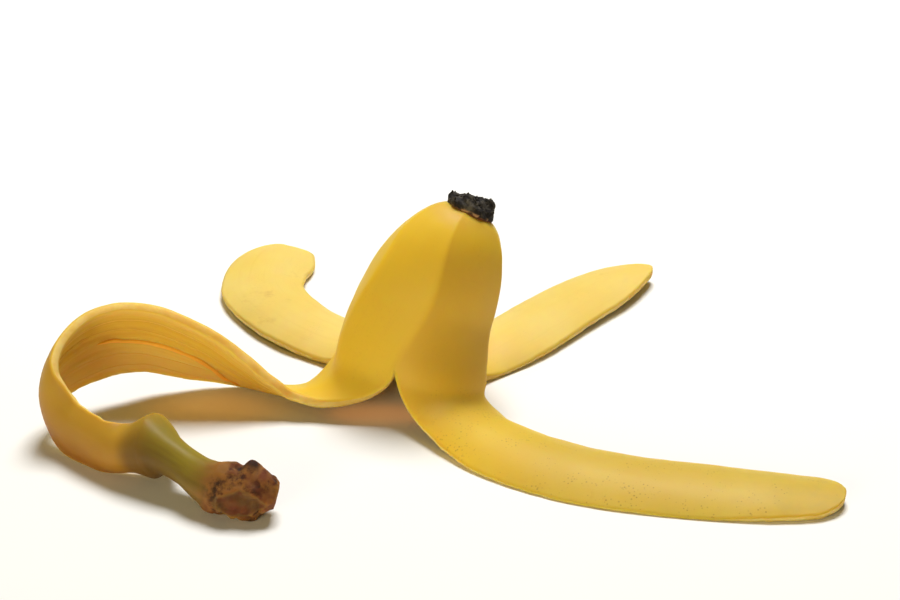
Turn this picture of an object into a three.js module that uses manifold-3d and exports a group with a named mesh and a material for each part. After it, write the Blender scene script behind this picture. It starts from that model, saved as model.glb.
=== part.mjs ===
// A banana peel, opened from the stem end into four strips and stood on the table with its blossom end up.
// The closed end makes a leaning hollow cap. Three strips lie flat round it, and the fourth twists up into
// a loop that ends in the stem. Everything is one grown piece, so it is one solid.
// Millimetres, +Z up, the table at z = 0, origin under the middle of the peel's outline.

import * as THREE from 'three';
import { mergeVertices } from 'three/addons/utils/BufferGeometryUtils.js';
import Module from 'manifold-3d';

const wasm = await Module();
wasm.setup();

// Driving dimensions
const peelThickness = 3.0;
const capRadius = 22.4;
const capMeanRadius = 20.4;
const capLength = 45;
const capSlimming = 2.6;
const capBluntness = 0.37;
const facetFlatness = 0.55;
const ridgeAngles = [-102, -28, 45, 118, 203];
const endWidth = 0.02;
const tearGap = 0.5;
const tearGapLength = 8;
const tableFlat = 0.4;

// Mesh density
const capRows = 13;
const capRowCrowding = 1.35;
const stripColumns = 8;
const rowSpacing = 4.2;
const rowCrowding = 0.45;
const stepsPerStation = 40;

// The cap's axis, from the blossom end down to the level where the strips part, and one step below it.
const capAxis = new THREE.CatmullRomCurve3(
  [
    new THREE.Vector3(12.2, 8.5, 58.5),
    new THREE.Vector3(5.2, 8, 44),
    new THREE.Vector3(-1, 7.5, 30),
    new THREE.Vector3(-5.9, 7, 16),
    new THREE.Vector3(-9, 6.5, 2),
  ],
  false,
  'catmullrom',
);
const capAxisSteps = capAxis.points.length - 2;

// The four strips in order round the cap. middle and half are the angles that a strip covers on the cap.
// Each station of its route gives the crown of the skin, the way the skin faces there, the widths to the
// left and right of the crown, and the bow: the curvature across the strip, positive where the skin bulges.
// endRound is the length of its rounded end, and endBlunt how blunt that is to the left and right.
const strips = [
  {
    name: 'front',
    middle: -52,
    half: 50,
    blend: 16,
    endRound: 12,
    endBlunt: [2.5, 2.5],
    stations: [
      { at: [11, -21, 8.5], face: [0.45, -0.45, 0.77], left: 16, right: 16, bow: 0.045 },
      { at: [22, -36.5, 7.2], face: [0.05, -0.1, 1], left: 17, right: 15.5, bow: 0.042 },
      { at: [39, -49, 6.8], face: [0, -0.1, 1], left: 17, right: 15.5, bow: 0.04 },
      { at: [58, -56.5, 6.6], face: [0, -0.1, 1], left: 16, right: 15, bow: 0.04 },
      { at: [78, -61, 6.3], face: [0, -0.1, 1], left: 14.5, right: 14.5, bow: 0.04 },
      { at: [98, -63.5, 6], face: [0, -0.05, 1], left: 13, right: 13, bow: 0.04 },
      { at: [118.5, -63.5, 4.5], face: [0, 0, 1], left: 10, right: 10, bow: 0.04 },
    ],
  },
  {
    name: 'backRight',
    middle: 40,
    half: 42,
    blend: 16,
    endRound: 24,
    endBlunt: [2, 2],
    stations: [
      { at: [14, 22.5, 8], face: [0.5, 0.4, 0.75], left: 14, right: 14, bow: 0.045 },
      { at: [26, 37, 7], face: [0, 0, 1], left: 14, right: 15.5, bow: 0.037 },
      { at: [39.5, 53.5, 7], face: [0, 0, 1], left: 14.5, right: 14.5, bow: 0.035 },
      { at: [55, 71, 7.2], face: [0, 0, 1], left: 15, right: 13, bow: 0.035 },
      { at: [75.5, 88, 6.4], face: [-0.1, -0.1, 1], left: 11, right: 7, bow: 0.035 },
    ],
  },
  {
    name: 'backLeft',
    middle: 124,
    half: 42,
    blend: 16,
    endRound: 15,
    endBlunt: [2, 7],
    stations: [
      { at: [-25, 31, 8], face: [-0.4, 0.3, 0.85], left: 14, right: 14, bow: 0.045 },
      { at: [-38, 42, 7], face: [0, 0, 1], left: 14.5, right: 14, bow: 0.035 },
      { at: [-49, 56, 7], face: [0, 0, 1], left: 15, right: 14.5, bow: 0.033 },
      { at: [-56, 71, 7], face: [0, 0, 1], left: 15.5, right: 14, bow: 0.033 },
      { at: [-57, 85, 7], face: [0, 0, 1], left: 15.5, right: 15, bow: 0.033 },
      { at: [-55, 97, 6.8], face: [0, 0, 1], left: 15, right: 16.5, bow: 0.033 },
      { at: [-51, 106, 6.2], face: [0, 0, 1], left: 13, right: 14, bow: 0.033 },
    ],
  },
  {
    name: 'stemSide',
    middle: 212,
    half: 46,
    blend: 15,
    endRound: 0,
    endBlunt: [2, 2],
    stations: [
      { at: [-31.5, -2.5, 9.3], face: [-0.68, -0.05, 0.72], left: 12.5, right: 17.5, bow: 0.012 },
      { at: [-40, -2, 5.2], face: [-0.1, 0.36, 0.92], left: 11.5, right: 13, bow: -0.006 },
      { at: [-49, -1, 6.6], face: [0.08, 0.55, 0.83], left: 12, right: 11.5, bow: -0.016 },
      { at: [-59, 0.5, 10.8], face: [0.2, 0.7, 0.68], left: 13.5, right: 12, bow: -0.014 },
      { at: [-71, 2, 16.8], face: [0.3, 0.85, 0.42], left: 15, right: 13.5, bow: 0.01 },
      { at: [-87, 1.8, 22.3], face: [0.05, 0.95, 0.25], left: 14.5, right: 13.5, bow: 0.025 },
      { at: [-102, -2.5, 22.5], face: [-0.5, 0.85, 0.12], left: 13.5, right: 13.5, bow: 0.035 },
      { at: [-113, -14, 19.8], face: [-0.92, 0.35, 0.1], left: 13, right: 13, bow: 0.045 },
      { at: [-116, -27.5, 15.8], face: [-0.98, -0.15, 0.12], left: 12, right: 12, bow: 0.055 },
      { at: [-109.8, -40, 12], face: [-0.75, -0.62, 0.15], left: 10.5, right: 10.5, bow: 0.065 },
      { at: [-100.2, -48.5, 10.3], face: [-0.4, -0.9, 0.2], left: 9, right: 9, bow: 0.08 },
      { at: [-89.6, -53, 10.4], face: [-0.25, -0.95, 0.2], left: 9, right: 9, bow: 0.1 },
      { at: [-81.3, -57.2, 11.9], face: [-0.4, -0.9, 0.15], left: 10, right: 9.5, bow: 0.13 },
    ],
  },
];

// The stem's line, from inside the end of its strip to the broken end, with a radius at each point.
const stemLine = [
  { at: [-91.6, -47.8, 10.7], radius: 2.5 },
  { at: [-82.3, -51, 12.4], radius: 6.8 },
  { at: [-74.5, -55.6, 11.6], radius: 6.3 },
  { at: [-68.2, -60.5, 9.8], radius: 5.9 },
  { at: [-62.4, -65.3, 8.3], radius: 6.8 },
  { at: [-54, -69, 7.5], radius: 7.8 },
  { at: [-46, -70, 7.2], radius: 6.8 },
  { at: [-42.5, -70, 7], radius: 4.5 },
];
const stemRows = 26;
const stemSides = 18;
const stemRoughFrom = 0.6;
const stemRoughness = 0.13;

// The dry blossom end: rings up its axis, each a height over the skin and a radius.
const blossomRings = [
  { height: -3, radius: 5 },
  { height: -0.6, radius: 7.6 },
  { height: 1.8, radius: 7.4 },
  { height: 4.2, radius: 6.2 },
  { height: 6.6, radius: 4.6 },
];
const blossomSides = 20;
const blossomRoughness = 0.16;

const radians = THREE.MathUtils.degToRad;
const smooth = (x) => THREE.MathUtils.smoothstep(x, 0, 1);
const vector = (list) => new THREE.Vector3(...list);
const curveThrough = (vectors) => new THREE.CatmullRomCurve3(vectors, false, 'catmullrom');

// Tangent of a curve at t, also just past its ends.
function tangentAt(curve, t) {
  const step = 1e-3;
  const before = curve.getPoint(Math.max(t - step, 0));
  const after = curve.getPoint(Math.min(t + step, 1));
  return after.sub(before).normalize();
}

// How much of the ridge radius is left at an angle: the skin is flatter between its five long ridges.
function facetShare(angle) {
  const start = ridgeAngles[0];
  const turn = THREE.MathUtils.euclideanModulo(angle - start, 360) + start;
  const next = ridgeAngles.findIndex((ridgeAngle) => ridgeAngle > turn);
  const to = next < 0 ? start + 360 : ridgeAngles[next];
  const from = next < 0 ? ridgeAngles[ridgeAngles.length - 1] : ridgeAngles[next - 1];
  const chord = Math.cos(radians((to - from) / 2)) / Math.cos(radians(turn - (from + to) / 2));
  return 1 - facetFlatness * (1 - chord);
}

// How far the cap's skin stands off its axis: a blunt end that swells to capRadius at the ridges.
function capSkinRadius(level, angle) {
  const swell = Math.pow(1 - Math.pow(1 - Math.min(level, 1), capSlimming), capBluntness);
  return capRadius * swell * facetShare(angle);
}

// A point of the cap's skin. level runs from 0 at the blossom end to 1 where the strips part, and past it.
function capPoint(level, angle) {
  const t = (level * capAxisSteps) / (capAxisSteps + 1);
  const down = tangentAt(capAxis, t);
  const right = new THREE.Vector3(1, 0, 0);
  right.addScaledVector(down, -right.dot(down)).normalize();
  const away = new THREE.Vector3().crossVectors(right, down);
  const radius = capSkinRadius(level, angle);
  return capAxis
    .getPoint(Math.min(t, 1))
    .addScaledVector(right, radius * Math.cos(radians(angle)))
    .addScaledVector(away, radius * Math.sin(radians(angle)));
}

// Each strip's route starts down the cap, so that skin and strip run on without a kink.
for (const strip of strips) {
  const startLevels = [0.72, 1];
  const capWidth = capMeanRadius * radians(strip.half);
  const starts = startLevels.map((level) => ({
    at: capPoint(level, strip.middle),
    face: capPoint(level, strip.middle).sub(capPoint(level, strip.middle + 180)).normalize(),
    size: new THREE.Vector3(capWidth, capWidth, 1 / capMeanRadius),
  }));
  const stations = strip.stations.map((station) => ({
    at: vector(station.at),
    face: vector(station.face).normalize(),
    size: new THREE.Vector3(station.left, station.right, station.bow),
  }));
  const all = [...starts, ...stations];
  strip.route = curveThrough(all.map((station) => station.at));
  strip.faces = curveThrough(all.map((station) => station.face));
  strip.sizes = curveThrough(all.map((station) => station.size));
  strip.route.arcLengthDivisions = (all.length - 1) * stepsPerStation;
  const lengths = strip.route.getLengths();
  const partLength = lengths[stepsPerStation];
  const fullLength = lengths[lengths.length - 1];
  strip.length = fullLength - partLength;
  strip.tAt = (distance) => strip.route.getUtoTmapping(Math.min((distance + partLength) / fullLength, 1));
}

// A point of a strip's skin: distance in mm from where the strips part, across from -1 (right) to 1 (left).
function stripPoint(strip, distance, across) {
  const t = strip.tAt(distance);
  const along = tangentAt(strip.route, t);
  const face = strip.faces.getPoint(t);
  face.addScaledVector(along, -face.dot(along)).normalize();
  const leftward = new THREE.Vector3().crossVectors(face, along);
  const size = strip.sizes.getPoint(t);
  const rounding = endRounding(strip, distance, across);
  const gap = tearGap * smooth(distance / tearGapLength);
  const width = (across > 0 ? size.x : size.y) * rounding - gap;
  const bow = Math.abs(size.z) < 1e-4 ? 1e-4 : size.z;
  const arc = across * width;
  const onRoute = strip.route
    .getPoint(t)
    .addScaledVector(leftward, Math.sin(bow * arc) / bow)
    .addScaledVector(face, (Math.cos(bow * arc) - 1) / bow);
  const capLevel = 1 + Math.min(distance, strip.blend) / capLength;
  const onCap = capPoint(capLevel, strip.middle + across * strip.half);
  return onCap.lerp(onRoute, smooth(distance / strip.blend));
}

// Share of the full width that is left near a strip's rounded end, where a higher blunt makes a sharper corner.
function endRounding(strip, distance, across) {
  const into = distance - (strip.length - strip.endRound);
  if (strip.endRound === 0 || into <= 0) return 1;
  const blunt = strip.endBlunt[across > 0 ? 0 : 1];
  return Math.sqrt(Math.max(1 - (into / strip.endRound) ** blunt, endWidth));
}

// Normal of a surface from its slopes down (first) and across (second).
function normalOf(point, down, across) {
  const step = 0.01;
  const alongDown = point(down + step, across).sub(point(down - step, across));
  const alongAcross = point(down, across + step).sub(point(down, across - step));
  return alongDown.cross(alongAcross).normalize();
}

// The skin and the flesh side of cap and strips as one closed sheet.
function peelSheet() {
  const positions = [];
  const triangles = [];
  const addPair = (skin, normal) => {
    const flesh = skin.clone().addScaledVector(normal, -peelThickness);
    positions.push(skin.x, skin.y, skin.z, flesh.x, flesh.y, flesh.z);
    return positions.length / 6 - 1;
  };
  const skinOf = (pair) => 2 * pair;
  const fleshOf = (pair) => 2 * pair + 1;
  const addCell = (a, b, c, d) => {
    triangles.push(skinOf(a), skinOf(b), skinOf(c), skinOf(a), skinOf(c), skinOf(d));
    triangles.push(fleshOf(a), fleshOf(c), fleshOf(b), fleshOf(a), fleshOf(d), fleshOf(c));
  };
  // A torn edge from one pair to the next, with the sheet on its right.
  const addTear = (a, b) => {
    triangles.push(skinOf(a), skinOf(b), fleshOf(b), skinOf(a), fleshOf(b), fleshOf(a));
  };

  const columns = strips.length * stripColumns;
  const angleOf = (column) => {
    const strip = strips[Math.floor(column / stripColumns) % strips.length];
    const share = (column % stripColumns) / stripColumns;
    return strip.middle + strip.half * (2 * share - 1);
  };
  const top = addPair(capPoint(0, 0), tangentAt(capAxis, 0).negate());
  const rings = [];
  for (let row = 1; row <= capRows; row++) {
    const level = Math.pow(row / capRows, capRowCrowding);
    const ring = [];
    for (let column = 0; column < columns; column++) {
      const angle = angleOf(column);
      ring.push(addPair(capPoint(level, angle), normalOf(capPoint, level, angle)));
    }
    rings.push(ring);
  }
  for (let column = 0; column < columns; column++) {
    const next = (column + 1) % columns;
    triangles.push(skinOf(top), skinOf(rings[0][column]), skinOf(rings[0][next]));
    triangles.push(fleshOf(top), fleshOf(rings[0][next]), fleshOf(rings[0][column]));
    for (let row = 0; row + 1 < capRows; row++) {
      addCell(rings[row][column], rings[row + 1][column], rings[row + 1][next], rings[row][next]);
    }
  }

  const splitRing = rings[capRows - 1];
  strips.forEach((strip, index) => {
    const onStrip = (distance, across) => stripPoint(strip, distance, across);
    const first = [];
    for (let column = 0; column <= stripColumns; column++) {
      first.push(splitRing[(index * stripColumns + column) % columns]);
    }
    let above = first;
    const rows = Math.round(strip.length / rowSpacing);
    for (let row = 1; row <= rows; row++) {
      const turn = (2 * Math.PI * row) / rows;
      const distance = (strip.length * (turn - rowCrowding * Math.sin(turn))) / (2 * Math.PI);
      const current = [];
      for (let column = 0; column <= stripColumns; column++) {
        const across = (2 * column) / stripColumns - 1;
        current.push(addPair(onStrip(distance, across), normalOf(onStrip, distance, across)));
      }
      for (let column = 0; column < stripColumns; column++) {
        addCell(above[column], current[column], current[column + 1], above[column + 1]);
      }
      addTear(above[stripColumns], current[stripColumns]);
      addTear(current[0], above[0]);
      above = current;
    }
    for (let column = stripColumns; column > 0; column--) addTear(above[column], above[column - 1]);
  });
  return geometryOf(positions, triangles);
}

// A closed tube of rings along a line, its radius given by radiusAt(t) and its crags by rough(t, angle).
function ringTube(curve, radiusAt, rows, sides, rough) {
  const positions = [];
  const triangles = [];
  const frames = curve.computeFrenetFrames(rows, false);
  for (let row = 0; row <= rows; row++) {
    const t = curve.getUtoTmapping(row / rows);
    const centre = curve.getPoint(t);
    for (let side = 0; side < sides; side++) {
      const angle = (2 * Math.PI * side) / sides;
      const radius = radiusAt(t) * (1 + rough(t, angle));
      const point = centre
        .clone()
        .addScaledVector(frames.normals[row], radius * Math.cos(angle))
        .addScaledVector(frames.binormals[row], radius * Math.sin(angle));
      positions.push(point.x, point.y, point.z);
    }
  }
  for (let row = 0; row < rows; row++) {
    for (let side = 0; side < sides; side++) {
      const next = (side + 1) % sides;
      const a = row * sides + side;
      const b = row * sides + next;
      triangles.push(a, b, b + sides, a, b + sides, a + sides);
    }
  }
  for (const [row, turn] of [[0, -1], [rows, 1]]) {
    const centre = curve.getPoint(row / rows);
    const hub = positions.length / 3;
    positions.push(centre.x, centre.y, centre.z);
    for (let side = 0; side < sides; side++) {
      const a = row * sides + side;
      const b = row * sides + ((side + 1) % sides);
      triangles.push(hub, turn > 0 ? a : b, turn > 0 ? b : a);
    }
  }
  return geometryOf(positions, triangles);
}

// Crags of a dry, torn surface: waves of a few lengths laid over each other.
function crag(t, angle) {
  return (
    0.45 * Math.sin(3 * angle + 9 * t) +
    0.35 * Math.sin(5 * angle - 14 * t + 1.3) +
    0.3 * Math.sin(8 * angle + 23 * t + 0.4)
  );
}

function stem() {
  const curve = curveThrough(stemLine.map((point) => vector(point.at)));
  const radii = curveThrough(stemLine.map((point) => new THREE.Vector3(point.radius, 0, 0)));
  const rough = (t, angle) =>
    stemRoughness * smooth((t - stemRoughFrom) / (1 - stemRoughFrom)) * crag(t, angle);
  return ringTube(curve, (t) => radii.getPoint(t).x, stemRows, stemSides, rough);
}

function blossomEnd() {
  const up = tangentAt(capAxis, 0).negate();
  const curve = curveThrough(
    blossomRings.map((ring) => capPoint(0, 0).addScaledVector(up, ring.height)),
  );
  const radii = curveThrough(blossomRings.map((ring) => new THREE.Vector3(ring.radius, 0, 0)));
  const rough = (t, angle) => blossomRoughness * smooth(t * 2) * crag(t, angle);
  return ringTube(curve, (t) => radii.getPoint(t).x, blossomRings.length + 3, blossomSides, rough);
}

function geometryOf(positions, triangles) {
  const geometry = new THREE.BufferGeometry();
  geometry.setAttribute('position', new THREE.Float32BufferAttribute(positions, 3));
  geometry.setIndex(triangles);
  return geometry;
}

function solidOf(geometry) {
  const bare = geometry.clone();
  bare.deleteAttribute('normal');
  bare.deleteAttribute('uv');
  const merged = mergeVertices(bare, 1e-4);
  return new wasm.Manifold(
    new wasm.Mesh({
      numProp: 3,
      vertProperties: merged.attributes.position.array,
      triVerts: new Uint32Array(merged.index.array),
    }),
  );
}

function geometryFrom(solid) {
  const mesh = solid.getMesh();
  const geometry = geometryOf(Array.from(mesh.vertProperties), Array.from(mesh.triVerts));
  geometry.computeVertexNormals();
  return geometry;
}

// What would lie below the table is cut away, which leaves flat spots to rest on.
const belowTable = new THREE.BoxGeometry(400, 400, 50).translate(0, 0, tableFlat - 25);
const grown = solidOf(peelSheet()).add(solidOf(stem())).add(solidOf(blossomEnd()));
const cut = grown.subtract(solidOf(belowTable));
const whole = cut.decompose().sort((a, b) => b.volume() - a.volume())[0];

const peelSkin = new THREE.MeshStandardMaterial({ color: 0xe0b030, roughness: 0.5, metalness: 0 });
const peel = new THREE.Mesh(geometryFrom(whole), peelSkin);
peel.name = 'peel';
peel.geometry.computeBoundingBox();
const outline = peel.geometry.boundingBox;
const middle = outline.getCenter(new THREE.Vector3());
peel.geometry.translate(-middle.x, -middle.y, -outline.min.z);

const part = new THREE.Group();
part.add(peel);

export default part;
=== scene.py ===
import itertools
import math
import bmesh
import bpy
import numpy as np
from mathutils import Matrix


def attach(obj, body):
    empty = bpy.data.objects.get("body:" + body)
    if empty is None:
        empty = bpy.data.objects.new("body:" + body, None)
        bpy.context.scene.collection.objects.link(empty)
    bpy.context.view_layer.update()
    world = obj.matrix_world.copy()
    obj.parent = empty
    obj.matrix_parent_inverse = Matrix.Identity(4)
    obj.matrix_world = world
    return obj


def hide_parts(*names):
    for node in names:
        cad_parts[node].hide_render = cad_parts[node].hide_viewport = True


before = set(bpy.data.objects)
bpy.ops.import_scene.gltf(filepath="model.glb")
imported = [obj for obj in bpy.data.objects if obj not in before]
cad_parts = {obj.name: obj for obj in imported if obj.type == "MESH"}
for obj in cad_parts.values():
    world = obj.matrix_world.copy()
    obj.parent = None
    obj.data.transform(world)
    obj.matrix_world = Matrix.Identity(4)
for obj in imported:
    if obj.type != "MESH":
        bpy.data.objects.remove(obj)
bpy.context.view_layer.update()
print("frame loaded")

mm = 0.001
frameOrigin = np.array([1.175, 14.768, 0.4])  # the frame's origin in the peel's working coordinates, mm

# Shared maths

def unit(v):
    return v / np.maximum(np.linalg.norm(v, axis=-1, keepdims=True), 1e-9)

def smooth(x):
    x = np.clip(x, 0.0, 1.0)
    return x * x * (3 - 2 * x)

def spline(points, t):  # uniform Catmull-Rom, t from 0 to 1
    points = np.asarray(points, float)
    padded = np.vstack([2 * points[0] - points[1], points, 2 * points[-1] - points[-2]])
    place = np.clip(np.asarray(t, float), 0, 1) * (len(points) - 1)
    k = np.minimum(place.astype(int), len(points) - 2)
    f = (place - k)[..., None]
    a, b, c, d = (padded[k + i] for i in range(4))
    square = 2 * a - 5 * b + 4 * c - d
    cube = 3 * b - a - 3 * c + d
    return 0.5 * (2 * b + (c - a) * f + square * f ** 2 + cube * f ** 3)

def splineTangent(points, t, step=1e-3):
    return unit(spline(points, np.minimum(t + step, 1)) - spline(points, np.maximum(t - step, 0)))

def wander(x, seed):  # smooth irregular wave, about -1 to 1
    return (np.sin(x + seed) + 0.6 * np.sin(2.3 * x + 1.7 * seed) + 0.4 * np.sin(5.1 * x + 2.9 * seed)) / 2

def grain(points, size, seed):  # smooth lattice noise, -1 to 1
    place = points / size + seed
    cell = np.floor(place)
    f = smooth(place - cell)
    total = 0
    for corner in itertools.product((0, 1), repeat=3):
        h = np.sin((cell + corner) @ np.array([127.1, 311.7, 74.7])) * 43758.5453
        total = total + np.prod(np.where(corner, f, 1 - f), axis=-1) * (2 * (h - np.floor(h)) - 1)
    return total

def crags(points, shape):  # sharp ridges from a folded grain, roughened by plain ones
    size, seed, height = shape["fold"]
    relief = height * np.abs(grain(points, size, seed)) - shape["sunk"]
    for size, seed, height in shape["grains"]:
        relief = relief + height * grain(points, size, seed)
    return relief

def nearness(points, place, reach):  # 1 at the place, falling off smoothly
    return np.exp(-np.sum((points - place) ** 2, axis=-1) / reach ** 2)

def spokes(turns, up, side):  # rays round each section
    return np.cos(turns)[None, :, None] * up[:, None] + np.sin(turns)[None, :, None] * side[:, None]

def addObject(name, data):
    made = bpy.data.objects.new(name, data)
    bpy.context.scene.collection.objects.link(made)
    return made

# Camera

camera = {
    "elevation": 25.0,
    "lens": 90.0,
    "sensor": 36.0,
    "frameWidth": 279.0,  # mm seen across the picture at the working origin
    "originPixel": (430.0, 400.0),  # where that origin shows
    "picture": (900.0, 600.0),
}

def makeCamera():
    tilt = math.radians(camera["elevation"])
    focal = camera["lens"] / camera["sensor"] * camera["picture"][0]
    reach = camera["frameWidth"] * camera["lens"] / camera["sensor"]
    back = np.array([0.0, -math.cos(tilt), math.sin(tilt)])
    right = np.array([1.0, 0.0, 0.0])
    up = np.cross(back, right)
    px = (camera["originPixel"][0] - camera["picture"][0] / 2) / focal
    py = (camera["picture"][1] / 2 - camera["originPixel"][1]) / focal
    at = reach * (back - px * right - py * up) - frameOrigin
    data = bpy.data.cameras.new("camera")
    data.lens = camera["lens"]
    data.sensor_width = camera["sensor"]
    data.clip_start = 0.01
    data.clip_end = 20
    eye = addObject("camera", data)
    eye.location = at * mm
    eye.rotation_euler = (math.pi / 2 - tilt, 0, 0)
    bpy.context.scene.camera = eye

makeCamera()
print("camera made")

# Peel surface: a closed cap and four strips that leave it

cap = {
    "radius": 22.4,
    "meanRadius": 20.4,
    "length": 45.0,
    "slimming": 2.6,  # larger fills the cap out sooner
    "bluntness": 0.34,  # smaller makes a blunter tip
    "facetFlatness": 0.55,  # 0 is round, 1 has flat facets
    "ridgeAngles": (-102, -28, 45, 118, 203),  # degrees
    "axis": ((12.4, 12.2, 59.2), (5.2, 8.8, 44), (-1, 7.5, 30), (-5.9, 7, 16), (-9, 6.5, 2)),
    "twist": 9.0,  # degrees that the ridges wind round half way down
    "leftSwell": 2.2,  # how much fuller the left side is, mm
    "leftSwellFull": 0.5,  # level where it is full: 0 is the tip, 1 is where the strips part
    "flare": 8.0,  # how far the front facet's foot swings out, mm
    "flareFrom": 0.55,
    "flareRun": 0.6,
    "flareMiddle": -52.0,  # the front strip's span, degrees
    "flareHalf": 50.0,
    "routeLevels": (0.72, 1.0),  # where the strips' routes start down the cap
}

peel = {
    "thickness": 3.0,
    "tearGap": 0.5,  # taken off each torn edge, mm
    "tearGapLength": 8.0,
    "ragged": 0.16,  # how far the torn edges wander, mm
    "raggedWaves": (0.21, 0.9),  # long and short waves of it, radians per mm
    "tearBulge": 0.4,  # how far a torn edge swells out, mm
    "tearGrains": ((0.1, 0.9, 7.7), (0.12, 2.6, 2.2)),  # height, size, seed
    "tearRun": 5.0,
    "seamRun": 6.0,  # length over which a strip takes over from the cap, mm
    "seamFade": 6.0,  # how sharply the cap's dents fade out above it
    "farFromEdge": 20.0,  # the edge distance that the whole cap is given, mm
    "edgeStart": (12.0, 1.5),  # length over which the edge's tint comes in, and its slope
    "leastTip": 0.02,  # keeps a rounded tip from closing to a point
    "leastBow": 1e-4,
    "capRows": 60,
    "capCrowding": 1.35,  # above 1 the rows crowd towards the tip
    "columns": 34,
    "wallRows": 4,
    "rowSpacing": 1.3,
    "rowCrowding": 0.45,
    "fleshRidges": 0.16,  # height of the long ridges on the flesh side, mm
    "ridgeWaves": (22, 37),  # wide and narrow ridges in the whole girth
    "ridgeRun": 20.0,
    "undulation": 0.16,
    "dents": ((9.0, 1.3, 1.0), (4.0, 4.1, 0.5)),  # size, seed, share
}

# each station: crown of the skin, way it faces, width to left and right of the crown, bow across
strips = [
    {
        "name": "backLeft", "middle": -236.0, "half": 42.0,
        "blend": 16.0, "endRound": 15.0, "endBlunt": (2, 24),
        "stations": [
            ((-25, 31, 8), (-0.4, 0.3, 0.85), 14, 14, 0.045),
            ((-38, 42, 7), (0, 0, 1), 14.5, 14, 0.035),
            ((-49, 56, 7), (0, 0, 1), 15, 14.5, 0.033),
            ((-56, 71, 7), (0, 0, 1), 15.5, 14, 0.033),
            ((-57, 85, 7), (0, 0, 1), 15.5, 15, 0.033),
            ((-55.5, 97, 6.8), (0, 0, 1), 14.5, 16, 0.033),
            ((-54, 107, 6.2), (0, 0, 1), 12.5, 13.4, 0.033),
        ],
    },
    {
        "name": "stemSide", "middle": -148.0, "half": 46.0,
        "blend": 15.0, "endRound": 0.0, "endBlunt": (2, 2),
        "stations": [
            ((-31.5, -2.5, 9.3), (-0.68, -0.05, 0.72), 12.5, 17.5, 0.012),
            ((-40, -2, 5.2), (-0.1, 0.36, 0.92), 11.5, 13, -0.006),
            ((-49, -1, 6.6), (0.08, 0.55, 0.83), 12, 11.5, -0.016),
            ((-59, 0.5, 10.8), (0.2, 0.7, 0.68), 13.5, 12, -0.014),
            ((-71, 2, 16.8), (0.3, 0.85, 0.42), 15, 13.5, 0.01),
            ((-87, 1.8, 22.3), (0.05, 0.95, 0.25), 14.5, 13.5, 0.025),
            ((-102, -2.5, 22.5), (-0.5, 0.85, 0.12), 13.5, 13.5, 0.035),
            ((-113, -14, 19.8), (-0.92, 0.35, 0.1), 13, 12, 0.045),
            ((-115.7, -26.6, 15.8), (-0.98, -0.15, 0.12), 12, 9.8, 0.055),
            ((-109, -36.2, 10.8), (-0.76, -0.6, 0.24), 9.8, 10, 0.065),
            ((-101.3, -44.2, 9.8), (-0.62, -0.77, 0.16), 9.6, 10, 0.075),
            ((-92, -52.4, 9.8), (-0.4, -0.9, 0.15), 9.2, 10.4, 0.1),
            ((-81.3, -57.2, 11.9), (-0.4, -0.9, 0.15), 10, 9.5, 0.13),
        ],
    },
    {
        "name": "front", "middle": -52.0, "half": 50.0,
        "blend": 11.0, "endRound": 12.0, "endBlunt": (2.5, 2.5),
        "stations": [
            ((11.4, -21.4, 8.6), (0.4, -0.46, 0.79), 16, 16, 0.045),
            ((22, -36.5, 7.2), (0.07, -0.14, 0.98), 17, 15.5, 0.042),
            ((39, -49, 6.8), (0, -0.1, 1), 17, 15.5, 0.04),
            ((58, -56.5, 6.6), (0, -0.1, 1), 16, 15, 0.04),
            ((78, -61, 6.3), (0, -0.1, 1), 14.5, 14.5, 0.04),
            ((98, -63.5, 6), (0, -0.05, 1), 13, 13, 0.04),
            ((118.5, -63.5, 4.5), (0, 0, 1), 10, 10, 0.04),
        ],
    },
    {
        "name": "backRight", "middle": 40.0, "half": 42.0,
        "blend": 16.0, "endRound": 24.0, "endBlunt": (2, 2),
        "stations": [
            ((14, 22.5, 8), (0.5, 0.4, 0.75), 14, 14, 0.045),
            ((26, 37, 7), (0, 0, 1), 14, 15.5, 0.037),
            ((39.5, 53.5, 7), (0, 0, 1), 14.5, 14.5, 0.035),
            ((55, 71, 7.2), (0, 0, 1), 15, 13, 0.035),
            ((75.5, 88, 6.4), (-0.1, -0.1, 1), 11, 7, 0.035),
        ],
    },
]

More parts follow.
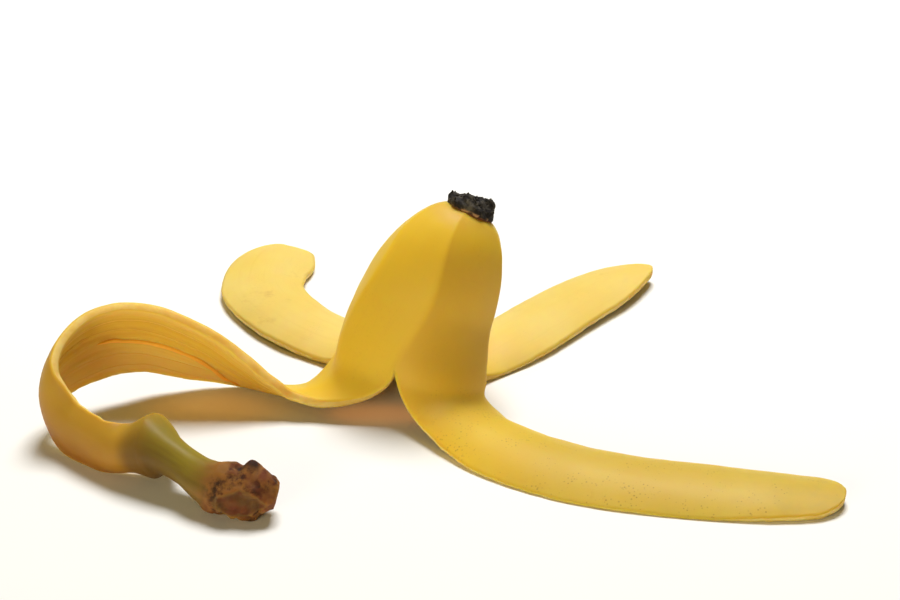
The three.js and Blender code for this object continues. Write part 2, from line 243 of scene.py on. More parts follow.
stem = {
    "neck": 20.0,  # length over which the strip closes round the stem, mm
    "skinSpan": 125.0,  # degrees of the stem's girth that the skin side covers
    "backSpan": 35.0,
    "neckRadii": (9.5, 9.0, 7.9, 7.6, 9.4),  # the last is the raised shoulder
    "neckShift": (-2.0, 0.0, 0.2),
    "line": (
        (-74.5, -55.6, 11.6), (-68.2, -60.5, 9.8), (-62.4, -65.3, 8.3),
        (-54, -69, 7.5), (-46, -70, 7), (-42.5, -70, 6),
    ),
    "radii": (6.0, 5.3, 6.3, 7.4, 6.4, 3.4),
    "rows": 80,
    "leadRows": 9,  # rows of the neck that set the way the stem starts
    "turnRun": 12.0,  # length over which the sections turn to the stem's line
    "ribs": 0.03,  # depth of the blunt corners along the stem
    "ribCount": 5,
    "ribTurn": 0.6,
    "cragFrom": 0.52,
    "cragRun": 0.22,
    "crag": 1.1,  # depth of the broken end's relief
    "fold": (3.1, 0.7, 1.3),  # size, seed, height
    "sunk": 0.45,
    "grains": ((1.3, 3.3, 0.45), (5.5, 8.2, 0.9)),
    "lumps": (  # larger humps and notches of the broken end: place, reach, height, warm or dark
        ((-58, -69, 14.5), 3.6, 0.9, 1.0), ((-49, -68.5, 14), 2.4, 2.4, -0.8),
        ((-52.8, -69, 14.5), 1.9, -1.5, -1.0), ((-42.5, -72, 8.5), 2.6, 1.2, 0.9),
        ((-61.5, -70.5, 3), 3.0, 1.7, 0.0), ((-53, -75, 2), 3.4, 1.0, 0.6),
    ),
    "cutAt": (-52.8, -76.0, 6.6),  # the raw face where the stem broke off
    "cutHalf": (6.6, 3.3),
    "cutReach": 4.0,  # how far behind the face the stem still belongs to it, mm
    "cutDepth": 1.1,
    "cutRim": 0.3,
}

def facetShare(angle):  # the skin is flatter between its five long ridges
    ridges = np.append(cap["ridgeAngles"], cap["ridgeAngles"][0] + 360.0)
    turn = (angle - ridges[0]) % 360 + ridges[0]
    k = np.clip(np.searchsorted(ridges, turn, side="right") - 1, 0, len(ridges) - 2)
    start, end = ridges[k], ridges[k + 1]
    chord = np.cos(np.radians((end - start) / 2)) / np.cos(np.radians(turn - (start + end) / 2))
    return 1 - cap["facetFlatness"] * (1 - chord)

def capSkinRadius(level, angle):
    swell = (1 - (1 - np.minimum(level, 1)) ** cap["slimming"]) ** cap["bluntness"]
    left = np.maximum(-np.cos(np.radians(angle)), 0) ** 2
    left = left * smooth(np.minimum(level, 1) / cap["leftSwellFull"])
    fromFront = (angle - cap["flareMiddle"] + 180) % 360 - 180
    foot = np.clip(1 - (fromFront / cap["flareHalf"]) ** 2, 0, 1)
    foot = foot * smooth((level - cap["flareFrom"]) / cap["flareRun"])
    return cap["radius"] * swell * facetShare(angle) + cap["leftSwell"] * left + cap["flare"] * foot

def capPoint(level, angle):
    level, angle = np.broadcast_arrays(np.asarray(level, float), np.asarray(angle, float))
    steps = len(cap["axis"]) - 2
    t = level * steps / (steps + 1)
    down = splineTangent(cap["axis"], t)
    right = unit(np.array([1.0, 0, 0]) - down * down[..., :1])
    away = np.cross(right, down)
    r = capSkinRadius(level, angle)[..., None]
    wound = angle + cap["twist"] * np.sin(math.pi * np.clip(level, 0, 1)) ** 2
    turn = np.radians(wound)[..., None]
    return spline(cap["axis"], t) + r * (np.cos(turn) * right + np.sin(turn) * away)

def layRoute(strip):  # the strip's route starts down the cap
    capWidth = cap["meanRadius"] * math.radians(strip["half"])
    at, face, size = [], [], []
    for level in cap["routeLevels"]:
        here = capPoint(level, strip["middle"])
        at.append(here)
        face.append(unit(here - capPoint(level, strip["middle"] + 180)))
        size.append((capWidth, capWidth, 1 / cap["meanRadius"]))
    for station in strip["stations"]:
        at.append(station[0])
        face.append(unit(np.array(station[1], float)))
        size.append(station[2:])
    strip["at"], strip["face"], strip["size"] = (np.array(v, float) for v in (at, face, size))
    stepsEach = 40
    strip["grid"] = np.linspace(0, 1, (len(at) - 1) * stepsEach + 1)
    line = spline(strip["at"], strip["grid"])
    strip["lengths"] = np.concatenate([[0], np.cumsum(np.linalg.norm(np.diff(line, axis=0), axis=1))])
    strip["partLength"] = strip["lengths"][stepsEach]
    strip["length"] = strip["lengths"][-1] - strip["partLength"]

def routeFrame(strip, distance):
    t = np.interp(distance + strip["partLength"], strip["lengths"], strip["grid"])
    along = splineTangent(strip["at"], t)
    face = spline(strip["face"], t)
    face = unit(face - along * np.sum(face * along, axis=-1, keepdims=True))
    return spline(strip["at"], t), along, face, np.cross(face, along), spline(strip["size"], t)

def stripPoint(strip, distance, across):
    distance, across = np.broadcast_arrays(np.asarray(distance, float), np.asarray(across, float))
    at, _, face, leftward, size = routeFrame(strip, distance)
    rounding = np.ones_like(distance)
    if strip["endRound"] > 0:
        into = np.clip((distance - strip["length"] + strip["endRound"]) / strip["endRound"], 0, 1)
        blunt = np.where(across > 0, strip["endBlunt"][0], strip["endBlunt"][1])
        rounding = np.sqrt(np.maximum(1 - into ** blunt, peel["leastTip"]))
    grown = smooth(distance / peel["tearGapLength"])
    side = np.where(across > 0, 1.0, -1.0)
    longWave, shortWave = (distance * wave for wave in peel["raggedWaves"])
    ragged = wander(longWave, 3 * side + strip["middle"]) + 0.5 * wander(shortWave, side)
    width = np.where(across > 0, size[..., 0], size[..., 1]) * rounding
    width = width + (peel["ragged"] * ragged - peel["tearGap"]) * grown
    bow = np.where(np.abs(size[..., 2]) < peel["leastBow"], peel["leastBow"], size[..., 2])
    arc = across * width
    sideways = (np.sin(bow * arc) / bow)[..., None]
    raised = ((np.cos(bow * arc) - 1) / bow)[..., None]
    onRoute = at + leftward * sideways + face * raised
    level = 1 + np.minimum(distance, strip["blend"]) / cap["length"]
    onCap = capPoint(level, strip["middle"] + across * strip["half"])
    mix = smooth(distance / strip["blend"])[..., None]
    return onCap + (onRoute - onCap) * mix

def normalOf(surface, down, across, step=0.02):
    slopeDown = surface(down + step, across) - surface(down - step, across)
    slopeAcross = surface(down, across + step) - surface(down, across - step)
    return unit(np.cross(slopeDown, slopeAcross))

def fleshDepth(along, angle):  # peel thickness with the long ridges of the flesh side
    wide, narrow = (np.radians(angle) * wave for wave in peel["ridgeWaves"])
    ridges = np.cos(wide + 0.5 * wander(along * 0.05, 2.0))
    ridges = ridges + 0.7 * np.cos(narrow + wander(along * 0.04, 5.0))
    return peel["thickness"] + peel["fleshRidges"] * ridges * smooth(along / peel["ridgeRun"])

def liftSkin(points, normals):  # faint dents of a hand-peeled skin
    dents = sum(share * grain(points, size, seed) for size, seed, share in peel["dents"])
    return points + normals * (peel["undulation"] * dents)[..., None]

class Sheet:  # gathers points, faces and the values that the material reads
    fields = ("along", "girth", "edge", "inner", "torn", "stemward", "crag", "cut", "lump")

    def __init__(self):
        self.points, self.faces, self.count = [], [], 0
        self.values = {name: [] for name in self.fields}

    def add(self, points, **values):
        shape = points.shape[:-1]
        self.points.append(points.reshape(-1, 3))
        for name in self.fields:
            value = np.asarray(values.get(name, 0.0), float)
            self.values[name].append(np.broadcast_to(value, shape).reshape(-1))
        index = np.arange(self.count, self.count + int(np.prod(shape))).reshape(shape)
        self.count += index.size
        return index

    def quads(self, index):  # index rows run down, columns to the left
        a, b, c, d = index[:-1, :-1], index[1:, :-1], index[1:, 1:], index[:-1, 1:]
        self.faces += np.stack([a, b, c, d], -1).reshape(-1, 4).tolist()

    def fan(self, hub, ring):  # triangles from a hub to a closed ring
        self.faces += [[int(hub[0]), int(b), int(a)] for a, b in zip(ring[:-1], ring[1:])]

    def build(self, name):
        points = np.concatenate(self.points)
        points[:, 2] = np.maximum(points[:, 2], frameOrigin[2])
        mesh = bpy.data.meshes.new(name)
        mesh.from_pydata(((points - frameOrigin) * mm).tolist(), [], self.faces)
        for field in self.fields:
            layer = mesh.attributes.new(field, "FLOAT", "POINT")
            layer.data.foreach_set("value", np.concatenate(self.values[field]).astype(np.float32))
        mesh.polygons.foreach_set("use_smooth", np.ones(len(mesh.polygons), bool))
        mesh.update()
        return addObject(name, mesh)

def weld(piece, distance=2e-6):
    work = bmesh.new()
    work.from_mesh(piece.data)
    bmesh.ops.remove_doubles(work, verts=work.verts, dist=distance)
    bmesh.ops.recalc_face_normals(work, faces=work.faces)
    work.to_mesh(piece.data)
    work.free()

def placePeel(piece, nodes=()):
    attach(piece, "root")
    if nodes:
        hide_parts(*nodes)

def capGrid(sheet):
    level = (np.arange(peel["capRows"] + 1) / peel["capRows"]) ** peel["capCrowding"]
    level[0] = 1e-4  # just off the tip, where a section has no width
    angles = []
    for strip in strips:
        share = np.arange(peel["columns"]) / peel["columns"]
        angles.append(strip["middle"] + strip["half"] * (2 * share - 1))
    last = strips[-1]
    angle = np.concatenate(angles + [[last["middle"] + last["half"]]])
    levels, anglesAll = np.meshgrid(level, angle, indexing="ij")
    skin = capPoint(levels, anglesAll)
    normal = normalOf(capPoint, np.maximum(levels, 0.021), anglesAll)
    along = levels * cap["length"]
    girth = np.radians(anglesAll) * cap["radius"]
    fade = smooth((1 - levels) * peel["seamFade"])[..., None]
    lifted = skin + (liftSkin(skin, normal) - skin) * fade
    flesh = skin - normal * fleshDepth(along, anglesAll)[..., None]
    outer = sheet.add(lifted, along=along, girth=girth, edge=peel["farFromEdge"])
    inner = sheet.add(flesh, along=along, girth=girth, edge=peel["farFromEdge"], inner=1.0)
    sheet.quads(outer)
    sheet.quads(inner[:, ::-1])

def stripRows(strip):
    rows = int(round(strip["length"] / peel["rowSpacing"]))
    turn = 2 * math.pi * np.arange(rows + 1) / rows
    return strip["length"] * (turn - peel["rowCrowding"] * np.sin(turn)) / (2 * math.pi)

def stripLoops(strip):  # closed sections: skin, left tear, flesh, right tear
    distance = stripRows(strip)
    across = np.linspace(-1, 1, peel["columns"] + 1)
    downs, acrosses = np.meshgrid(distance, across, indexing="ij")
    surface = lambda d, u: stripPoint(strip, d, u)
    skin = surface(downs, acrosses)
    normal = normalOf(surface, downs, acrosses)
    along = cap["length"] + downs
    angle = strip["middle"] + acrosses * strip["half"]
    depth = fleshDepth(along, angle)
    start = smooth(downs / peel["seamRun"])[..., None]
    atCap = normalOf(capPoint, np.ones_like(angle), angle)  # meets the cap's last ring
    normal = unit(atCap + (normal - atCap) * start)
    skin = skin + (liftSkin(skin, normal) - skin) * start
    flesh = skin - normal * depth[..., None]
    width = np.linalg.norm(np.diff(skin, axis=1), axis=2).sum(1) / 2
    edgeRun, edgeSlope = peel["edgeStart"]
    edge = (1 - np.abs(acrosses)) * width[:, None] + np.maximum(0, edgeRun - downs) * edgeSlope
    share = np.linspace(0, 1, peel["wallRows"] + 2)[1:-1]

    def tear(side):
        top, bottom = (skin[:, -1], flesh[:, -1]) if side > 0 else (flesh[:, 0], skin[:, 0])
        outward = unit((skin[:, -1] - skin[:, -2]) if side > 0 else (skin[:, 0] - skin[:, 1]))
        wall = top[:, None] + (bottom - top)[:, None] * share[None, :, None]
        bulge = peel["tearBulge"] * np.sin(math.pi * share)[None, :]
        for height, size, seed in peel["tearGrains"]:
            bulge = bulge + height * grain(wall, size, seed)
        return wall + outward[:, None] * (bulge * smooth(distance / peel["tearRun"])[:, None])[..., None]

    left, right = tear(1), tear(-1)
    loop = np.concatenate([skin, left, flesh[:, ::-1], right], 1)
    girth = np.radians(angle) * cap["radius"]
    ends = np.ones((1, peel["wallRows"]))
    bare, whole, walls = np.zeros_like(edge), np.ones_like(edge), np.ones(left.shape[:2])
    values = {
        "along": np.repeat((cap["length"] + distance)[:, None], loop.shape[1], 1),
        "girth": np.concatenate([girth, girth[:, -1:] * ends, girth[:, ::-1], girth[:, :1] * ends], 1),
        "edge": np.concatenate([edge, edge[:, -1:] * ends, edge[:, ::-1], edge[:, :1] * ends], 1),
        "inner": np.concatenate([bare, 0.5 * walls, whole, 0.5 * walls], 1),
        "torn": np.concatenate([bare, walls, bare, walls], 1),
    }
    return distance, loop, values

def closeEnd(sheet, index):  # closes a strip's last section
    n, m = peel["columns"] + 1, peel["wallRows"]
    skin, left, flesh, right = index[:n], index[n:n + m], index[n + m:2 * n + m][::-1], index[2 * n + m:]
    for c in range(n - 1):
        sheet.faces.append([skin[c], flesh[c], flesh[c + 1], skin[c + 1]])
    sheet.faces.append([skin[-1], flesh[-1], *left[::-1]])
    sheet.faces.append([flesh[0], skin[0], *right[::-1]])

def ringTurns():  # each point of a section's place round the stem, degrees from the skin's facing
    n, m = peel["columns"] + 1, peel["wallRows"]
    a, b = stem["skinSpan"], 180 - stem["backSpan"]
    return np.concatenate([
        np.linspace(-a, a, n),
        np.linspace(a, b, m + 2)[1:-1],
        np.linspace(b, 360 - b, n),
        np.linspace(360 - b, 360 - a, m + 2)[1:-1],
    ])

def stemRows(strip, distance, loop, values):  # closes the strip round the stem, to its broken end
    turns = np.radians(ringTurns())
    at, _, face, leftward, _ = routeFrame(strip, distance)
    into = np.clip((distance - strip["length"] + stem["neck"]) / stem["neck"], 0, 1)
    share = smooth(into)
    radius = spline(np.array(stem["neckRadii"])[:, None], into)[:, 0]
    centre = at - face * radius[:, None] + share[:, None] * np.array(stem["neckShift"])
    ring = centre[:, None] + radius[:, None, None] * spokes(turns, face, leftward)
    loop = loop + (ring - loop) * share[:, None, None]
    lead = -stem["leadRows"]
    line = np.vstack([centre[lead], centre[-1], np.array(stem["line"], float)])
    radii = np.concatenate([[radius[lead], radius[-1]], stem["radii"]])[:, None]
    t = np.linspace(1 / (len(line) - 1), 1, stem["rows"] + 1)[1:]
    middle = spline(line, t)
    way = splineTangent(line, t)
    runs = np.linalg.norm(np.diff(np.vstack([centre[-1], middle]), axis=0), axis=1).cumsum()
    turned = smooth(runs / stem["turnRun"])[:, None]
    up = unit(face[-1] - way * (way @ face[-1])[:, None])
    side = np.cross(up, way)
    up = unit(face[-1] + (up - face[-1]) * turned)
    side = unit(leftward[-1] + (side - leftward[-1]) * turned)
    r = spline(radii, t)
    ribs = 1 + stem["ribs"] * np.cos(stem["ribCount"] * turns + stem["ribTurn"])[None, :]
    tube = middle[:, None] + (r * ribs)[..., None] * spokes(turns, up, side)
    rough = smooth((t - stem["cragFrom"]) / stem["cragRun"])[:, None]
    outward = unit(tube - middle[:, None])
    tube = tube + outward * (stem["crag"] * rough * crags(tube, stem))[..., None]
    lump = 0
    for place, reach, height, warmth in stem["lumps"]:
        near = nearness(tube, np.array(place), reach)
        tube = tube + outward * (height * near)[..., None]
        lump = lump + warmth * near
    offset = tube - np.array(stem["cutAt"])
    oval = np.hypot(offset[..., 0] / stem["cutHalf"][0], offset[..., 2] / stem["cutHalf"][1])
    oval = oval + 0.16 * grain(tube, 2.2, 9.1)
    isFace = offset[..., 1] < stem["cutReach"]
    cut = np.where(isFace, smooth((1.5 - oval) / 0.9), 0)  # 1 inside the raw face, falls off past its rim
    sunk = smooth((1.05 - oval) / 0.25) * stem["cutDepth"]
    sunk = sunk - stem["cutRim"] * np.exp(-((oval - 1.15) / 0.2) ** 2)
    pitted = 0.25 * grain(tube, 1.2, 4.4) * smooth((1.2 - oval) / 0.3)
    tube[..., 1] += np.where(isFace, sunk + pitted, 0)
    count = len(t)
    full = {name: np.vstack([values[name], np.repeat(values[name][-1:], count, 0)]) for name in values}
    full["along"][-count:] += runs[:, None]
    keep = np.concatenate([1 - share, np.zeros(count)])[:, None]
    full["inner"] = full["inner"] * keep
    full["torn"] = full["torn"] * keep
    neckRun = np.maximum(distance - strip["length"] + stem["neck"], 0)
    full["stemward"] = np.repeat(np.concatenate([neckRun, stem["neck"] + runs])[:, None], loop.shape[1], 1)
    empty = np.zeros((len(distance), loop.shape[1]))
    full["crag"] = np.vstack([empty, rough + 0 * tube[..., 0]])
    full["cut"] = np.vstack([empty, cut])
    full["lump"] = np.vstack([empty, lump])
    return np.concatenate([loop, tube]), full

def makePeel():
    for strip in strips:
        layRoute(strip)
    sheet = Sheet()
    capGrid(sheet)
    for strip in strips:
        distance, loop, values = stripLoops(strip)
        if strip["name"] == "stemSide":
            loop, values = stemRows(strip, distance, loop, values)
        index = sheet.add(loop, **values)
        sheet.quads(np.concatenate([index, index[:, :1]], 1))
        if strip["name"] == "stemSide":
            last = {name: values[name][-1, 0] for name in ("along", "stemward")}
            hub = sheet.add(loop[-1].mean(0)[None], crag=1.0, **last)
            sheet.fan(hub, np.append(index[-1], index[-1, 0]))
        else:
            closeEnd(sheet, index[-1].tolist())
    piece = sheet.build("peelBody")
    weld(piece)
    placePeel(piece, ["peel"])
    return piece

peelBody = makePeel()
print("peel body made", len(peelBody.data.polygons), "faces")

# Blossom end

blossom = {
    "rings": ((-4, 5), (-1.4, 7.3), (0.6, 7.5), (2.2, 6.7), (3.5, 5.0), (3.8, 1.8)),
    "lean": 0.12,  # how much further it leans back than the cap's tip
    "rows": 34,
    "sides": 72,
    "crag": 1.2,
    "cragFrom": 0.2,
    "cragRun": 0.25,
    "fold": (3.4, 5.5, 1.5),  # size, seed, height
    "sunk": 0.5,
    "grains": ((1.5, 2.1, 0.5), (5.0, 6.6, 0.7)),
    "lumps": (  # humps and notches: place to the right, away and up, reach, height
        ((-3.6, -2.0, 3.4), 1.9, 0.8), ((-1.2, -2.0, 4.0), 1.5, -1.2), ((2.5, 0.0, 4.6), 3.0, 2.8),
        ((7.0, -2.5, 0.6), 2.4, 0.7), ((5.6, -2.5, 3.2), 1.6, -1.2), ((-5.2, 0.0, 3.8), 3.0, -2.4),
    ),
}

def makeBlossom():
    up = unit(np.array([0.0, blossom["lean"], 0.0]) - splineTangent(cap["axis"], np.array(0.0)))
    base = capPoint(0.0, 0.0)
    right = unit(np.array([1.0, 0, 0]) - up * up[0])
    away = np.cross(up, right)
    heights, radii = np.array(blossom["rings"], float).T
    t = np.linspace(0, 1, blossom["rows"] + 1)
    turn = np.linspace(0, 2 * math.pi, blossom["sides"] + 1)[:-1]
    height = spline(heights[:, None], t)[:, :1]
    radius = spline(radii[:, None], t)[:, :1]
    spoke = np.cos(turn)[:, None] * right + np.sin(turn)[:, None] * away
    points = base + height[..., None] * up + radius[..., None] * spoke[None]
    rough = smooth((t - blossom["cragFrom"]) / blossom["cragRun"])[:, None]
    rocky = crags(points, blossom)
    outward = unit(spoke[None] + 0.8 * smooth((t - 0.4) / 0.5)[:, None, None] * up)
    points = points + outward * (blossom["crag"] * rough * rocky)[..., None]
    for place, reach, rise in blossom["lumps"]:
        hump = base + np.array(place) @ np.array([right, away, up])
        near = nearness(points, hump, reach)
        points = points + outward * (rise * near)[..., None]
    sheet = Sheet()
    index = sheet.add(points, along=height + 0 * points[..., 0], crag=rough + 0 * points[..., 0])
    sheet.quads(np.concatenate([index, index[:, :1]], 1)[::-1])
    for row, step in ((0, 1), (-1, -1)):
        hub = sheet.add(points[row].mean(0)[None], along=height[row, 0], crag=rough[row, 0])
        sheet.fan(hub, np.append(index[row], index[row, 0])[::step])
    piece = sheet.build("blossomEnd")
    weld(piece)
    placePeel(piece)
    return piece

blossomEnd = makeBlossom()
print("blossom end made")

# Materials

def tone(*screen):  # 8-bit screen colour to the shader's linear colour
    shares = [v / 255 for v in screen]
    linear = [v / 12.92 if v <= 0.04045 else ((v + 0.055) / 1.055) ** 2.4 for v in shares]
    return (*linear, 1.0)

class Wire:  # a node socket that takes plain arithmetic
    def __init__(self, tree, socket=None):
        self.tree = tree
        self.socket = socket

    def make(self, kind, settings=None, sockets=None, output=0):  # any node, with its settings and inputs
        node = self.tree.nodes.new(kind)
        for name, value in (settings or {}).items():
            setattr(node, name, value)
        for name, value in (sockets or {}).items():
            if isinstance(value, Wire):
                self.tree.links.new(value.socket, node.inputs[name])
            else:
                node.inputs[name].default_value = value
        return Wire(self.tree, node.outputs[output])

    def math(self, operation, *values):
        return self.make("ShaderNodeMath", {"operation": operation}, dict(enumerate(values)))

    def __add__(self, other):
        return self.math("ADD", self, other)

    def __radd__(self, other):
        return self.math("ADD", other, self)

    def __sub__(self, other):
        return self.math("SUBTRACT", self, other)

    def __rsub__(self, other):
        return self.math("SUBTRACT", other, self)

    def __mul__(self, other):
        return self.math("MULTIPLY", self, other)

    def __rmul__(self, other):
        return self.math("MULTIPLY", other, self)

    def step(self, low, high):  # smooth step from 0 at low to 1 at high
        return self.make("ShaderNodeMapRange", {"interpolation_type": "SMOOTHSTEP"},
                         {"Value": self, "From Min": low, "From Max": high})

    def blend(self, a, b):  # colour a where this is 0, b where it is 1
        return self.make("ShaderNodeMix", {"data_type": "RGBA"}, {0: self, 6: a, 7: b}, 2)

    def read(self, name):
        return self.make("ShaderNodeAttribute", {"attribute_name": name}, {}, 2)

    def place(self):  # position on the object
        return self.make("ShaderNodeTexCoord", {}, {}, 3)

    def vector(self, x, y, z):
        return self.make("ShaderNodeCombineXYZ", {}, {0: x, 1: y, 2: z})

    def noise(self, at, scale, detail=3.0, rough=0.55):
        return self.make("ShaderNodeTexNoise", {}, {
            "Vector": at, "Scale": scale, "Detail": detail, "Roughness": rough})

    def cells(self, at, scale):  # distance to the nearest of many strewn points
        return self.make("ShaderNodeTexVoronoi", {"feature": "F1"}, {"Vector": at, "Scale": scale})

def newMaterial(name, subsurface=0.0, radius=(0.0, 0.0, 0.0), specular=0.4):
    material = bpy.data.materials.new(name)
    material.use_nodes = True
    shader = material.node_tree.nodes["Principled BSDF"]
    shader.inputs["Subsurface Weight"].default_value = subsurface
    shader.inputs["Subsurface Radius"].default_value = radius
    shader.inputs["Subsurface Scale"].default_value = 0.001
    shader.inputs["Specular IOR Level"].default_value = specular
    return material, Wire(material.node_tree), shader

def finishMaterial(wire, shader, colour, roughness, height, strength, distance):
    tree = wire.tree
    tree.links.new(colour.socket, shader.inputs["Base Color"])
    tree.links.new(roughness.socket, shader.inputs["Roughness"])
    bump = wire.make("ShaderNodeBump", {}, {"Strength": strength, "Distance": distance, "Height": height})
    tree.links.new(bump.socket, shader.inputs["Normal"])

peelLook = {
    "scatter": 0.75,
    "scatterReach": (5.0, 3.0, 0.6),  # how far red, green and blue travel inside, mm
    "shine": 0.18,
    "relief": 0.3,
    "reliefDepth": 0.0006,
    "tearLine": 0.3,  # half the width over which one strip's tint gives way to the next, mm
    "bendLightShare": 0.35,
    "gold": tone(228, 187, 52),
    "goldLight": tone(231, 194, 60),
    "ochre": tone(210, 166, 58),
    "bendPaintedLight": tone(250, 206, 76),  # painted light on the front strip where it bends out of the cap, lifting the shade there
    "front": tone(212, 177, 71),
    "frontLight": tone(215, 184, 78),
    "olive": tone(188, 167, 84),
    "rear": tone(240, 203, 100),
    "rearLight": tone(242, 210, 118),
    # the loop band's outside: painted light on its upper side, painted shade towards its lower edge
    "loopLitUpper": tone(184, 143, 47),
    "loopShadedLower": tone(148, 96, 32),
    "speckle": tone(142, 96, 42),
    "bruise": tone(196, 146, 66),
    "flesh": tone(218, 180, 62),
    "fleshDeep": tone(208, 158, 50),
    "fleshPale": tone(236, 206, 110),
    "torn": tone(230, 202, 122),
    "tornDeep": tone(218, 178, 82),
    # the stem's upper side, with painted highlight
    "stemLitLime": tone(151, 135, 43),
    "oliveStem": tone(108, 84, 34),
    "neckShade": tone(96, 68, 30),
    "brown": tone(141, 94, 46),
    "redBrown": tone(106, 55, 30),
    "warmBark": tone(140, 96, 42),
    "darkBrown": tone(54, 32, 22),
    "rawCut": tone(106, 74, 40),
    "rawRim": tone(118, 88, 48),
}

